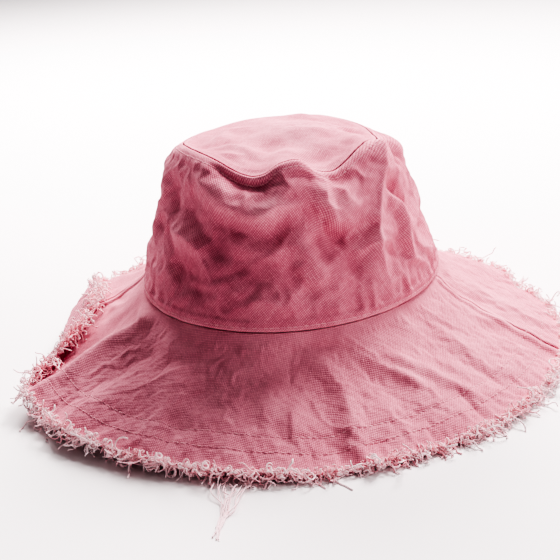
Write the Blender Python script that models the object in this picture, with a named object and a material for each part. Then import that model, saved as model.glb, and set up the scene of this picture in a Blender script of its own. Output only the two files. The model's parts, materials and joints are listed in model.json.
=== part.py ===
"""Washed canvas bucket hat with a wide brim and a frayed edge, standing on its brim.

Metres, +Z up. The hat's long axis is Y, its brim seams lie at +X and -X, and the seam of the crown
band is at the back, +Y. The origin is on the table under the middle of the brim.
Angles around the hat are measured from +X, turning towards +Y.
"""

import math

import bpy
import bmesh
import numpy as np

# The opening for the head, where the crown band meets the brim.
HEAD_HALF_WIDTH = 0.0835
HEAD_HALF_LENGTH = 0.1005
HEAD_SEAM_HEIGHT = 0.0478

# The oval top panel.
TIP_HALF_WIDTH = 0.055
TIP_HALF_LENGTH = 0.0654
TIP_SHIFT = -0.0048
TIP_HEIGHT = 0.1237
TIP_SAG = 0.0015
# Where the rim of the top panel sinks at the front: angle, reach to each side in degrees, and depth.
TIP_DIPS = ((268, 22, 0.0015), (312, 15, 0.0055))

# The crown band swells a little between its two seams.
BAND_SWELL = 0.004

# The brim falls steeply at the head seam and flares out to its edge.
BRIM_RUN = 0.070
BRIM_EDGE_HEIGHT = 0.0042
BRIM_STEEP = math.radians(64)
BRIM_SHALLOW = math.radians(25)
BRIM_TURN = 0.18
LIFT = 0.010
LIFT_ANGLE = 165
LIFT_REACH = 75
FRAY_WIDTH = 0.009
FRAY_NOTCH = 0.0014
FRAY_TIP_HEIGHT = 0.0016
FRAY_RISE = 0.0006

# Cloth and thread.
CANVAS = 0.0009
BRIM_PLY = 0.0008
TWILL = 0.0008
TAPE = 0.0005
LABEL = 0.0003
THREAD_RADIUS = 0.00025
YARN_RADIUS = 0.0004
GAP = 0.0003
SEAM_GAP = 0.0004
CUT_ANGLE = 0.003

# Places of the stitch rows and the inner bands, in metres from the seam or the cut edge beside them.
BAND_SLANT = math.hypot(TIP_HEIGHT - HEAD_SEAM_HEIGHT, HEAD_HALF_WIDTH - TIP_HALF_WIDTH)
BRIM_SLANT = math.hypot(BRIM_RUN, HEAD_SEAM_HEIGHT - BRIM_EDGE_HEIGHT)
BASE_STITCH = 0.0022
TIP_STITCH = 0.0025
OUTER_STITCH = 0.012
INNER_STITCH = 0.022
SWEATBAND_TALL = 0.032
TIP_TAPE_TALL = 0.010
BACK_TAPE_HALF = math.radians(3.6)
BACK_STITCH_SIDE = math.radians(1.5)
LABEL_FROM = math.radians(96)
LABEL_TO = math.radians(106)

# A yarn that has come loose from the front edge lies on the table: places along it as seen from above.
LOOSE_YARN = (
    (0.0090, -0.1804),
    (0.0108, -0.1880),
    (0.0150, -0.1965),
    (0.0166, -0.2055),
    (0.0150, -0.2140),
    (0.0170, -0.2215),
    (0.0180, -0.2260),
)

# Mesh steps.
AROUND = 64
HALF_AROUND = AROUND // 2
BACK = math.pi / 2
NUDGE = 0.0001

BASE_STITCH_AT = BASE_STITCH / BAND_SLANT
TIP_STITCH_AT = 1 - TIP_STITCH / BAND_SLANT
SWEATBAND_TOP_AT = SWEATBAND_TALL / BAND_SLANT
TIP_TAPE_FROM_AT = 1 - TIP_TAPE_TALL / BAND_SLANT
INNER_STITCH_AT = 1 - INNER_STITCH / BRIM_SLANT
OUTER_STITCH_AT = 1 - OUTER_STITCH / BRIM_SLANT
BAND_ROWS = (0, BASE_STITCH_AT, 0.2, SWEATBAND_TOP_AT, 0.6, 0.75, TIP_TAPE_FROM_AT, TIP_STITCH_AT, 1)
BRIM_ROWS = (0, 0.07, 0.16, 0.3, 0.5, INNER_STITCH_AT, OUTER_STITCH_AT, 1)

CANVAS_PINK = (0.78, 0.20, 0.30)
YARN_PINK = (0.86, 0.48, 0.52)
THREAD_PINK = (0.70, 0.22, 0.32)
TWILL_PINK = (0.74, 0.24, 0.34)
LABEL_WHITE = (0.86, 0.83, 0.80)


def bump(angle, centre, reach):
    """1 at centre, falling smoothly to 0 at reach on both sides of it; both are in degrees."""
    off = abs((math.degrees(angle) - centre + 180) % 360 - 180)
    return math.cos(min(off / reach, 1) * math.pi / 2) ** 2


def tip_drop(angle):
    """How far the rim of the top panel sinks at the front of the hat."""
    return sum(depth * bump(angle, centre, reach) for centre, reach, depth in TIP_DIPS)


def lift(angle):
    """How far the brim's edge stands off the table, on the left and towards the back."""
    return LIFT * bump(angle, LIFT_ANGLE, LIFT_REACH)


def brim_curve(steps=60):
    """Share of the run and of the fall that the brim has covered, at even steps along its slant."""
    slope = [
        BRIM_SHALLOW + (BRIM_STEEP - BRIM_SHALLOW) * math.exp(-i / steps / BRIM_TURN)
        for i in range(steps)
    ]
    run = np.concatenate([[0], np.cumsum(np.cos(slope))])
    fall = np.concatenate([[0], np.cumsum(np.sin(slope))])
    return np.linspace(0, 1, steps + 1), run / run[-1], fall / fall[-1]


BRIM_AT, BRIM_OUT, BRIM_DOWN = brim_curve()


def tip_point(angle, across):
    """A point on top of the top panel: across is 0 in its middle and 1 at its rim."""
    sag = TIP_SAG * (1 - across**2) + tip_drop(angle) * across**3
    x = TIP_SHIFT + TIP_HALF_WIDTH * across * math.cos(angle)
    y = TIP_HALF_LENGTH * across * math.sin(angle)
    return np.array([x, y, TIP_HEIGHT - sag])


def band_point(angle, up):
    """A point on the outside of the crown band: up is 0 at the head seam and 1 under the top panel."""
    turn = np.array([math.cos(angle), math.sin(angle), 0])
    foot = turn * (HEAD_HALF_WIDTH, HEAD_HALF_LENGTH, 0) + (0, 0, HEAD_SEAM_HEIGHT)
    head = tip_point(angle, 1) - (0, 0, CANVAS + SEAM_GAP)
    return foot + (head - foot) * up + turn * BAND_SWELL * math.sin(math.pi * up)


def brim_point(angle, out):
    """A point on top of the brim: out is 0 at the head seam and 1 at the cut edge."""
    run = BRIM_RUN * np.interp(out, BRIM_AT, BRIM_OUT)
    fall = np.interp(out, BRIM_AT, BRIM_DOWN)
    start = HEAD_SEAM_HEIGHT - SEAM_GAP
    edge = BRIM_EDGE_HEIGHT + lift(angle)
    x = (HEAD_HALF_WIDTH + run) * math.cos(angle)
    y = (HEAD_HALF_LENGTH + run) * math.sin(angle)
    return np.array([x, y, start + (edge - start) * fall])


def layer(surface, depth):
    """The surface moved along its normal by depth, below or inside it where depth is negative."""

    def moved(angle, at):
        low = min(max(at, NUDGE), 1 - NUDGE)
        around = surface(angle + NUDGE, at) - surface(angle - NUDGE, at)
        along = surface(angle, low + NUDGE) - surface(angle, low - NUDGE)
        normal = np.cross(around, along)
        if surface is brim_point:
            normal = -normal
        return surface(angle, at) + normal / np.linalg.norm(normal) * depth

    return moved


def material(name, colour, roughness):
    made = bpy.data.materials.new(name)
    made.use_nodes = True
    shader = made.node_tree.nodes["Principled BSDF"]
    shader.inputs["Base Color"].default_value = (*colour, 1)
    shader.inputs["Roughness"].default_value = roughness
    shader.inputs["Metallic"].default_value = 0
    return made


def add_mesh(name, build, look):
    """A mesh object whose geometry is written by build into an empty bmesh."""
    made = bmesh.new()
    build(made)
    bmesh.ops.recalc_face_normals(made, faces=made.faces)
    mesh = bpy.data.meshes.new(name)
    made.to_mesh(mesh)
    made.free()
    mesh.shade_smooth()
    mesh.set_sharp_from_angle(angle=math.radians(50))
    mesh.materials.append(look)
    piece = bpy.data.objects.new(name, mesh)
    bpy.context.collection.objects.link(piece)
    return piece


def thicken(piece, thickness):
    """Gives a cloth surface its thickness, half on each side of it."""
    solid = piece.modifiers.new("cloth thickness", "SOLIDIFY")
    solid.thickness = thickness
    solid.offset = 0


def sheet(name, surface, top, thickness, angles, rows, look):
    """A cloth panel whose upper face lies top above the surface; it is a ring if the angles close."""
    middle = layer(surface, top - thickness / 2)
    ring = abs(angles[-1] - angles[0] - 2 * math.pi) < 1e-9
    columns = angles[:-1] if ring else angles

    def build(made):
        grid = [[made.verts.new(middle(a, r)) for r in rows] for a in columns]
        strips = list(zip(grid, grid[1:]))
        if ring:
            strips.append((grid[-1], grid[0]))
        for left, right in strips:
            for i in range(len(rows) - 1):
                made.faces.new((left[i], right[i], right[i + 1], left[i + 1]))

    piece = add_mesh(name, build, look)
    thicken(piece, thickness)
    return piece


def oval_panel(name, look, rings=(0.35, 0.7, 0.9, 1)):
    """The top panel, cut as an oval and laid over the crown."""
    angles = np.linspace(0, 2 * math.pi, AROUND, endpoint=False)

    def build(made):
        centre = made.verts.new(tip_point(0, 0) - (0, 0, CANVAS / 2))
        loops = [
            [made.verts.new(tip_point(a, r) - (0, 0, CANVAS / 2)) for a in angles] for r in rings
        ]
        for i in range(AROUND):
            after = (i + 1) % AROUND
            made.faces.new((centre, loops[0][i], loops[0][after]))
            for inner, outer in zip(loops, loops[1:]):
                made.faces.new((inner[i], outer[i], outer[after], inner[after]))

    piece = add_mesh(name, build, look)
    thicken(piece, CANVAS)
    return piece


def thread(name, surface, lift_off, route, look, closed):
    """A sewing thread that runs along the route of (angle, place) pairs on the surface."""
    moved = layer(surface, lift_off)
    curve = bpy.data.curves.new(name, "CURVE")
    curve.dimensions = "3D"
    curve.bevel_depth = THREAD_RADIUS
    curve.bevel_resolution = 0
    curve.use_fill_caps = True
    line = curve.splines.new("POLY")
    line.points.add(len(route) - 1)
    for point, (angle, at) in zip(line.points, route):
        point.co = (*moved(angle, at), 1)
    line.use_cyclic_u = closed
    curve.materials.append(look)
    piece = bpy.data.objects.new(name, curve)
    bpy.context.collection.objects.link(piece)
    return piece


def thread_ring(name, surface, lift_off, at, look):
    angles = np.linspace(0, 2 * math.pi, AROUND, endpoint=False)
    return thread(name, surface, lift_off, [(a, at) for a in angles], look, True)


def loose_yarn(name, look, points=22):
    """A pulled yarn that lies on the table in front of the brim, on one smooth line."""
    places = np.array(LOOSE_YARN)
    steps = np.linspace(0, len(places) - 1, points)
    curve = bpy.data.curves.new(name, "CURVE")
    curve.dimensions = "3D"
    curve.bevel_depth = YARN_RADIUS
    curve.bevel_resolution = 2
    curve.use_fill_caps = True
    line = curve.splines.new("POLY")
    line.points.add(points - 1)
    for point, step in zip(line.points, steps):
        x, y = smooth_place(places, step)
        point.co = (x, y, YARN_RADIUS, 1)
    curve.materials.append(look)
    piece = bpy.data.objects.new(name, curve)
    bpy.context.collection.objects.link(piece)
    return piece


def smooth_place(places, step):
    """The place at a fractional step along a smooth line through the places."""
    i = min(int(step), len(places) - 2)
    t = step - i
    before, here, after = places[max(i - 1, 0)], places[i], places[i + 1]
    beyond = places[min(i + 2, len(places) - 1)]
    leave, arrive = (after - before) / 2, (beyond - here) / 2
    return (
        (2 * t**3 - 3 * t**2 + 1) * here
        + (t**3 - 2 * t**2 + t) * leave
        + (3 * t**2 - 2 * t**3) * after
        + (t**3 - t**2) * arrive
    )


def fray_section(angle, notch):
    """The four corners of the fringe's cross-section, from the cut edge round to the table."""
    inner = BRIM_RUN + SEAM_GAP + BRIM_PLY
    outer = BRIM_RUN + FRAY_WIDTH - notch
    low = lift(angle)
    heights = (
        (inner, low + BRIM_EDGE_HEIGHT + FRAY_RISE),
        (outer, low + FRAY_TIP_HEIGHT),
        (outer, low),
        (inner, low),
    )
    return [
        np.array(
            [(HEAD_HALF_WIDTH + r) * math.cos(angle), (HEAD_HALF_LENGTH + r) * math.sin(angle), z]
        )
        for r, z in heights
    ]


def fringe(name, angles, look):
    """The frayed border of one half of the brim, flat underneath where it lies on the table."""

    def build(made):
        sections = []
        for i, angle in enumerate(angles):
            notch = FRAY_NOTCH * (i % 2)
            sections.append([made.verts.new(p) for p in fray_section(angle, notch)])
        for near, far in zip(sections, sections[1:]):
            for i in range(4):
                after = (i + 1) % 4
                made.faces.new((near[i], near[after], far[after], far[i]))
        made.faces.new(sections[0])
        made.faces.new(reversed(sections[-1]))

    return add_mesh(name, build, look)


def half(start):
    """Angles across one half of the hat, with the seam's gap left open at both ends."""
    return np.linspace(start + CUT_ANGLE, start + math.pi - CUT_ANGLE, HALF_AROUND + 1)


def crown(canvas, stitch):
    around = np.linspace(BACK + CUT_ANGLE, BACK + 2 * math.pi - CUT_ANGLE, AROUND + 1)
    oval_panel("crown_tip", canvas)
    sheet("crown_band", band_point, 0, CANVAS, around, BAND_ROWS, canvas)
    proud = GAP + THREAD_RADIUS
    thread_ring("tip_topstitch", band_point, proud, TIP_STITCH_AT, stitch)
    thread_ring("base_topstitch", band_point, proud, BASE_STITCH_AT, stitch)
    places = np.linspace(2 * BASE_STITCH_AT, 1 - 2 * TIP_STITCH / BAND_SLANT, 14)
    route = [(BACK + BACK_STITCH_SIDE, at) for at in places]
    thread("back_seam_topstitch", band_point, proud + GAP, route, stitch, False)


def brim(canvas, stitch, yarn):
    for side, start in (("front", math.pi), ("back", 0)):
        angles = half(start)
        under = -(BRIM_PLY + GAP)
        sheet(f"brim_top_{side}", brim_point, 0, BRIM_PLY, angles, BRIM_ROWS, canvas)
        sheet(f"brim_under_{side}", brim_point, under, BRIM_PLY, angles, BRIM_ROWS, canvas)
        fringe(f"frayed_edge_{side}", angles, yarn)
    loose_yarn("loose_yarn", yarn)
    proud = GAP + THREAD_RADIUS
    thread_ring("brim_stitch_outer", brim_point, proud, OUTER_STITCH_AT, stitch)
    thread_ring("brim_stitch_inner", brim_point, proud, INNER_STITCH_AT, stitch)


def inner_bands(twill, tape, label, stitch):
    whole = np.linspace(0, 2 * math.pi, AROUND + 1)
    face = -(CANVAS + GAP)
    rows = (BASE_STITCH_AT / 2, BASE_STITCH_AT * 1.5, 0.2, SWEATBAND_TOP_AT)
    sheet("sweatband", band_point, face, TWILL, whole, rows, twill)
    tape_rows = (TIP_TAPE_FROM_AT, TIP_STITCH_AT, 1 - BASE_STITCH_AT / 2)
    sheet("tip_seam_tape", band_point, face, TAPE, whole, tape_rows, tape)
    across = np.linspace(BACK - BACK_TAPE_HALF, BACK + BACK_TAPE_HALF, 5)
    rise = np.linspace(SWEATBAND_TOP_AT + 0.01, TIP_TAPE_FROM_AT - 0.01, 6)
    sheet("back_seam_tape", band_point, face - GAP / 2, TAPE, across, rise, tape)
    inside = face - TWILL - 1.5 * GAP
    width = np.linspace(LABEL_FROM, LABEL_TO, 5)
    height = np.linspace(2 * BASE_STITCH_AT, SWEATBAND_TOP_AT * 0.8, 4)
    sheet("care_label", band_point, inside, LABEL, width, height, label)
    row = face - TWILL - GAP - THREAD_RADIUS
    thread_ring("sweatband_stitch", band_point, row, BASE_STITCH_AT * 1.5, stitch)


def main():
    for old in list(bpy.data.objects):
        bpy.data.objects.remove(old, do_unlink=True)
    canvas = material("pink canvas", CANVAS_PINK, 0.9)
    yarn = material("frayed yarn", YARN_PINK, 0.95)
    stitch = material("sewing thread", THREAD_PINK, 0.7)
    twill = material("sweatband twill", TWILL_PINK, 0.85)
    tape = material("seam tape", TWILL_PINK, 0.85)
    label = material("label cloth", LABEL_WHITE, 0.8)
    crown(canvas, stitch)
    brim(canvas, stitch, yarn)
    inner_bands(twill, tape, label, stitch)


main()
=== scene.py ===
"""A washed pink canvas bucket hat with a wide brim and a frayed edge, lying on a pale table.

Metres, +Z up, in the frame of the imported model: the origin is on the table under the middle of the
brim. Angles go round the hat from +X towards +Y, so the front is at -90 degrees. On the crown band
"up" is 0 at the head seam and 1 at the tip seam; on the brim "out" is 0 at the head seam and 1 at
the cut edge; on the tip "across" is 0 in the middle and 1 at its rim.
"""

import json
import math

import bpy
import numpy as np
from mathutils import Matrix, Vector

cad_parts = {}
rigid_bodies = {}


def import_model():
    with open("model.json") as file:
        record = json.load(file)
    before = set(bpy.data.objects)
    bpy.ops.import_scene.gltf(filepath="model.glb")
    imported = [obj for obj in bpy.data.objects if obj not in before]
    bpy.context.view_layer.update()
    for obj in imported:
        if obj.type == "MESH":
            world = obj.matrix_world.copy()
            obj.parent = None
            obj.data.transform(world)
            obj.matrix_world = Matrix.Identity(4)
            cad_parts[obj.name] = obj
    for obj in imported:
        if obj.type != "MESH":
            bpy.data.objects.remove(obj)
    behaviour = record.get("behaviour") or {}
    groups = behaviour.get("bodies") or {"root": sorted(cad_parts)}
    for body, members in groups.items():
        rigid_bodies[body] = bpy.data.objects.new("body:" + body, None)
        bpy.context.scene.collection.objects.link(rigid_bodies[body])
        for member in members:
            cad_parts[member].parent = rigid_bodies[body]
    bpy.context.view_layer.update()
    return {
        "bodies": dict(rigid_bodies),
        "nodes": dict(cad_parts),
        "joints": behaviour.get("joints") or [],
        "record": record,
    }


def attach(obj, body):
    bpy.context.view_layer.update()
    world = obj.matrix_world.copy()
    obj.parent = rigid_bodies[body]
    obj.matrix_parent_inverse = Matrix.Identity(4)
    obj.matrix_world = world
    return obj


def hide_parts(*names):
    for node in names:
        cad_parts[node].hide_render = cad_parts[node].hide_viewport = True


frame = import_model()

MM = 0.001
DEG = math.pi / 180

# ---------------------------------------------------------------- dimensions, as in the CAD model
HEAD_HALF_WIDTH = 83.5 * MM
HEAD_HALF_LENGTH = 100.5 * MM
HEAD_HEIGHT = 47.8 * MM
TIP_HALF_WIDTH = 55.0 * MM
TIP_HALF_LENGTH = 65.4 * MM
TIP_SHIFT = -4.8 * MM
TIP_HEIGHT = 123.7 * MM
TIP_SAG = 1.5 * MM
BAND_SWELL = 4.0 * MM
BAND_SLANT = 81.0 * MM
BRIM_RUN = 70.0 * MM
BRIM_SLANT = 83.4 * MM
BRIM_STEEP = 64 * DEG
BRIM_SHALLOW = 25 * DEG
BRIM_TURN = 0.18
EDGE_HEIGHT = 4.2 * MM
CANVAS = 0.9 * MM
BRIM_PLY = 0.8 * MM
TWILL = 0.8 * MM
TAPE = 0.5 * MM
LABEL = 0.3 * MM
GAP = 0.3 * MM
SEAM_GAP = 0.4 * MM
YARN_RADIUS = 0.4 * MM
YARN_REST = 0.46 * MM
BASE_STITCH = 2.2 * MM
TIP_STITCH = 2.5 * MM
OUTER_STITCH = 12.0 * MM
INNER_STITCH = 22.0 * MM
SWEATBAND_TALL = 32.0 * MM
TIP_TAPE_TALL = 10.0 * MM
SEAM_ANGLE = 0.0022
REST_HEIGHT = 2.4 * MM

# On the left the brim's edge has flipped over along a straight fold: which way from the middle and
# how far it is, in degrees and metres; how far the cloth turns there, in radians; how many times the
# plain brim's run the brim inside the fold has, for the same share of the slant; and the share, past
# the edge, that stands for no fold.
FLAP_ANGLE = 189
FLAP_REACH = 143 * MM
FLAP_TURN = 2.95
FLAP_RUN = 1.136
NO_FLAP = 1.2
# Millimetres round the hat for each degree at the head seam, and how that changes along the panels.
HEAD_PER_DEGREE = 1.606
BAND_NARROWS = 0.567
BRIM_WIDENS = 1.22
# The panels' flat patterns are cut on arcs: their radius, and their turn for each turn round the hat.
BAND_ARC, BAND_ARC_TURN = 0.246, 0.374
BRIM_ARC, BRIM_ARC_TURN = 0.108, 0.85
TAPE_ARC = 0.080
TIP_RADIUS_MM = 60
STITCH_PITCH, STITCH_LENGTH = 3.0 * MM, 2.5 * MM
STITCH_LIFT = 0.08 * MM
# The canvas: one thread's width, how high it stands, and how far it strays from its line.
WEAVE_PITCH = 0.97 * MM
WEAVE_RELIEF = 0.22 * MM
THREAD_DRIFT = 0.48 * MM
# Settling: frames, how firmly the band and the brim are held to their folds, how much larger their
# cloth is made (below 0), and how much the band's softened wrinkles are strengthened afterwards.
SETTLE_FRAMES = 24
BAND_HOLD, BRIM_HOLD = 0.36, 0.38
BAND_EASE, BRIM_EASE = -0.075, -0.02
WRINKLE_GAIN = 1.1

CROWN_PINKS = (0.33, 0.060, 0.105), (0.67, 0.172, 0.255), (0.97, 0.41, 0.51)
BRIM_PINKS = (0.46, 0.115, 0.17), (0.74, 0.225, 0.31), (0.97, 0.40, 0.50)

# ---------------------------------------------------------------- camera, light and table
CAMERA_TURN = 15.0 * DEG
CAMERA_RISE = 19.52 * DEG
CAMERA_ROLL = 2.88 * DEG
CAMERA_AWAY = 0.81425
CAMERA_AIM = Vector((-0.00771, 0, 0.04007))


def make_camera():
    data = bpy.data.cameras.new("camera")
    data.lens, data.sensor_width = 90, 36
    back = Vector((
        math.sin(CAMERA_TURN) * math.cos(CAMERA_RISE),
        -math.cos(CAMERA_TURN) * math.cos(CAMERA_RISE),
        math.sin(CAMERA_RISE),
    ))
    right = Vector((math.cos(CAMERA_TURN), math.sin(CAMERA_TURN), 0))
    up = back.cross(right)
    c, s = math.cos(CAMERA_ROLL), math.sin(CAMERA_ROLL)
    right, up = right * c - up * s, right * s + up * c
    camera = bpy.data.objects.new("camera", data)
    turn = Matrix((right, up, back)).transposed().to_4x4()
    camera.matrix_world = Matrix.Translation(CAMERA_AIM + back * CAMERA_AWAY) @ turn
    bpy.context.collection.objects.link(camera)
    bpy.context.scene.camera = camera


def make_light(name, place, aim, size, power, colour):
    data = bpy.data.lights.new(name, "AREA")
    data.shape = "DISK"
    data.size, data.energy, data.color = size, power, colour
    lamp = bpy.data.objects.new(name, data)
    lamp.location = place
    lamp.rotation_mode = "QUATERNION"
    lamp.rotation_quaternion = (Vector(aim) - Vector(place)).to_track_quat("-Z", "Y")
    bpy.context.collection.objects.link(lamp)


def make_stage():
    # A round table top whose far edge sweeps up behind the hat on every side.
    profile = ((0.9, 0), (2.2, 0), (3.0, 0), (3.4, 0.05), (3.7, 0.18), (3.9, 0.42), (4.0, 1.0))
    count = 72
    points, faces = [(0, 0, 0)], []
    for reach, rise in profile:
        for k in range(count):
            turn = 2 * math.pi * k / count
            points.append((reach * math.cos(turn), reach * math.sin(turn), rise))
    for k in range(count):
        after = (k + 1) % count
        faces.append((0, 1 + k, 1 + after))
        for ring in range(len(profile) - 1):
            low, high = 1 + ring * count, 1 + (ring + 1) * count
            faces.append((low + k, high + k, high + after, low + after))
    mesh = bpy.data.meshes.new("table")
    mesh.from_pydata(points, [], faces)
    mesh.shade_smooth()
    table = bpy.data.objects.new("table", mesh)
    bpy.context.collection.objects.link(table)
    look, shader, n = new_look("pale table")
    # Far from the hat the table glows a little, so that its far end isn't lost in the dark.
    away = n.add("ShaderNodeVectorMath", operation="LENGTH")
    n.put(away.inputs[0], n.add("ShaderNodeTexCoord").outputs["Object"])
    n.fill(shader, {
        "Base Color": tint(0.86, 0.80, 0.81), "Roughness": 0.6,
        "Emission Color": tint(1.0, 0.96, 0.965),
        "Emission Strength": n.level(away.outputs["Value"], 0.5, 2.2, 0.0, 0.30),
    })
    mesh.materials.append(look)
    world = bpy.data.worlds.new("studio")
    bpy.context.scene.world = world
    world.use_nodes = True
    n.fill(world.node_tree.nodes["Background"], {"Color": tint(1.0, 0.95, 0.955), "Strength": 0.02})
    bpy.context.scene.view_settings.look = "AgX - Very High Contrast"
    make_light("key", (0.26, 0.92, 1.08), (0.02, 0, 0.06), 0.60, 43, (1.0, 0.96, 0.96))
    make_light("top", (-0.15, -0.25, 1.25), (0, 0, 0.05), 1.0, 0.8, (1.0, 0.97, 0.97))
    make_light("side", (1.15, 0.0, 0.62), (0, 0, 0.05), 0.6, 7, (1.0, 0.96, 0.96))
    make_light("left", (-0.60, 0.95, 0.80), (0, 0, 0.04), 0.6, 23, (1.0, 0.95, 0.95))


# ---------------------------------------------------------------- materials
class Nodes:
    """A short way to write a material's node network."""

    def __init__(self, tree):
        self.tree = tree

    def add(self, kind, **settings):
        node = self.tree.nodes.new(kind)
        for key, value in settings.items():
            setattr(node, key, value)
        return node

    def put(self, socket, value):
        if isinstance(value, bpy.types.NodeSocket):
            self.tree.links.new(value, socket)
        elif value is not None:
            socket.default_value = value

    def fill(self, node, values):
        for key, value in values.items():
            self.put(node.inputs[key], value)

    def math(self, operation, a, b=None, c=None, clamp=False):
        node = self.add("ShaderNodeMath", operation=operation, use_clamp=clamp)
        for socket, value in zip(node.inputs, (a, b, c)):
            self.put(socket, value)
        return node.outputs[0]

    def mix(self, share, a, b):
        node = self.add("ShaderNodeMix", data_type="RGBA")
        self.fill(node, {0: share, 6: a, 7: b})
        return node.outputs[2]

    def noise(self, place, scale, detail=2.0, rough=0.5):
        node = self.add("ShaderNodeTexNoise")
        self.fill(node, {"Vector": place, "Scale": scale, "Detail": detail, "Roughness": rough})
        return node.outputs[0]

    def level(self, value, low, high, to_low=0.0, to_high=1.0):
        node = self.add("ShaderNodeMapRange")
        self.fill(node, dict(enumerate((value, low, high, to_low, to_high))))
        return node.outputs[0]

    def vary(self, base, value, amount, centre=0.5, clamp=False):
        """The base, moved by an amount of how far the value is above its centre."""
        return self.math("MULTIPLY_ADD", self.math("SUBTRACT", value, centre), amount, base, clamp)

    def wave(self, value, speed):
        return self.math("SINE", self.math("MULTIPLY", value, speed))

    def flat(self, turn):
        """Places on the flat pattern, turned in its own plane."""
        node = self.add("ShaderNodeVectorRotate", rotation_type="Z_AXIS")
        pattern = self.add("ShaderNodeUVMap", uv_map="flat")
        self.fill(node, {"Vector": pattern.outputs[0], "Angle": turn})
        return node.outputs[0]

    def split(self, place):
        node = self.add("ShaderNodeSeparateXYZ")
        self.put(node.inputs[0], place)
        return node.outputs[0], node.outputs[1]

    def bump(self, shader, height, strength=1.0, distance=1.0):
        node = self.add("ShaderNodeBump")
        self.fill(node, {"Strength": strength, "Distance": distance, "Height": height})
        self.put(shader.inputs["Normal"], node.outputs[0])


def new_look(name):
    look = bpy.data.materials.new(name)
    look.use_nodes = True
    return look, look.node_tree.nodes["Principled BSDF"], Nodes(look.node_tree)


def tint(*rgb):
    return (*rgb, 1)


def woven(n, turn):
    """A plain weave over the flat pattern: its relief and the tone of the thread on top."""
    flat = n.flat(turn)
    drift = n.add("ShaderNodeTexNoise")
    n.fill(drift, {"Vector": flat, "Scale": 90, "Detail": 3})
    push = n.add("ShaderNodeVectorMath", operation="MULTIPLY_ADD")
    n.fill(push, {0: drift.outputs["Color"], 1: (THREAD_DRIFT,) * 3, 2: flat})
    grid = n.add("ShaderNodeVectorMath", operation="SCALE")
    n.fill(grid, {0: push.outputs[0], "Scale": 1 / WEAVE_PITCH})
    x, y = n.split(grid.outputs[0])
    column, row = n.math("FLOOR", x), n.math("FLOOR", y)
    over = n.math("PINGPONG", n.math("ADD", column, row), 1.0)
    bow_x, bow_y = n.wave(n.math("FRACT", x), math.pi), n.wave(n.math("FRACT", y), math.pi)
    round_x, round_y = n.math("SQRT", bow_x), n.math("SQRT", bow_y)
    warp = n.math("MULTIPLY", round_x, n.math("MULTIPLY_ADD", bow_y, 0.6, 0.4))
    weft = n.math("MULTIPLY", round_y, n.math("MULTIPLY_ADD", bow_x, 0.6, 0.4))
    relief = n.math("MULTIPLY_ADD", over, n.math("SUBTRACT", warp, weft), weft)

    def tone(across, along, seed):
        place = n.add("ShaderNodeCombineXYZ")
        n.fill(place, {0: across, 1: n.math("MULTIPLY", along, 0.07), 2: seed})
        return n.noise(place.outputs[0], 1.7, 2.0, 0.6)

    warp_tone, weft_tone = tone(column, y, 3.0), tone(row, x, 11.0)
    thread = n.math("MULTIPLY_ADD", over, n.math("SUBTRACT", warp_tone, weft_tone), weft_tone)
    speck = n.noise(grid.outputs[0], 1.3, 2.0, 0.7)
    return relief, n.vary(thread, speck, 0.5)


def canvas_look(name, turn, pinks):
    """Garment-dyed cotton canvas: thread by thread tone, soft fading, paler worn places, and painted
    shade in its hollows.
    """
    look, shader, n = new_look(name)
    relief, thread = woven(n, turn)
    place = n.add("ShaderNodeTexCoord").outputs["Object"]
    # Read per point: paler worn ridges and seams, and painted shade that darkens the valleys of the
    # folds.
    wear_and_shade = n.add("ShaderNodeAttribute", attribute_name="wear_and_shade").outputs["Fac"]
    shade = n.vary(0.46, n.noise(place, 28, 4.0, 0.62), 0.55)
    shade = n.vary(shade, n.noise(place, 95, 4.0, 0.65), 0.40)
    shade = n.vary(shade, thread, 0.55)
    # Painted shade: darker where the weave is low, between the threads; the threads' tops are paler, as
    # washed cloth.
    shade = n.vary(shade, relief, 0.60, centre=0.62)
    shade = n.math("ADD", shade, wear_and_shade, clamp=True)
    ramp = n.add("ShaderNodeValToRGB")
    stops = ramp.color_ramp.elements
    stops.new(0.5)
    for stop, pink in zip(stops, pinks):
        stop.color = tint(*pink)
    n.put(ramp.inputs[0], shade)
    n.fill(shader, {
        "Base Color": ramp.outputs[0], "Roughness": n.level(relief, 0, 1, 0.96, 0.80),
        "Specular IOR Level": 0.25, "Sheen Weight": 0.12, "Sheen Roughness": 0.55,
        "Sheen Tint": tint(1.0, 0.62, 0.70),
    })
    height = n.math("MULTIPLY", relief, WEAVE_RELIEF)
    height = n.vary(height, n.noise(place, 2600, 2.0, 0.6), 0.05 * MM)
    height = n.vary(height, n.noise(place, 260, 3.0, 0.55), 0.35 * MM)
    n.bump(shader, height)
    return look


def yarn_look(name, pink, pale):
    """Twisted cotton yarn, pink to nearly white from one yarn to the next."""
    look, shader, n = new_look(name)
    tone = n.add("ShaderNodeAttribute", attribute_name="tone").outputs["Fac"]
    place = n.add("ShaderNodeTexCoord").outputs["Object"]
    share = n.vary(tone, n.noise(place, 700, 2.0, 0.6), 0.7, clamp=True)
    n.fill(shader, {
        "Base Color": n.mix(share, tint(*pink), tint(*pale)), "Roughness": 0.95,
        "Specular IOR Level": 0.2, "Sheen Weight": 0.35, "Sheen Roughness": 0.6,
        "Sheen Tint": tint(1.0, 0.86, 0.88),
    })
    n.bump(shader, n.noise(place, 3400, 2.0, 0.6), 0.5, 0.06 * MM)
    return look


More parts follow.
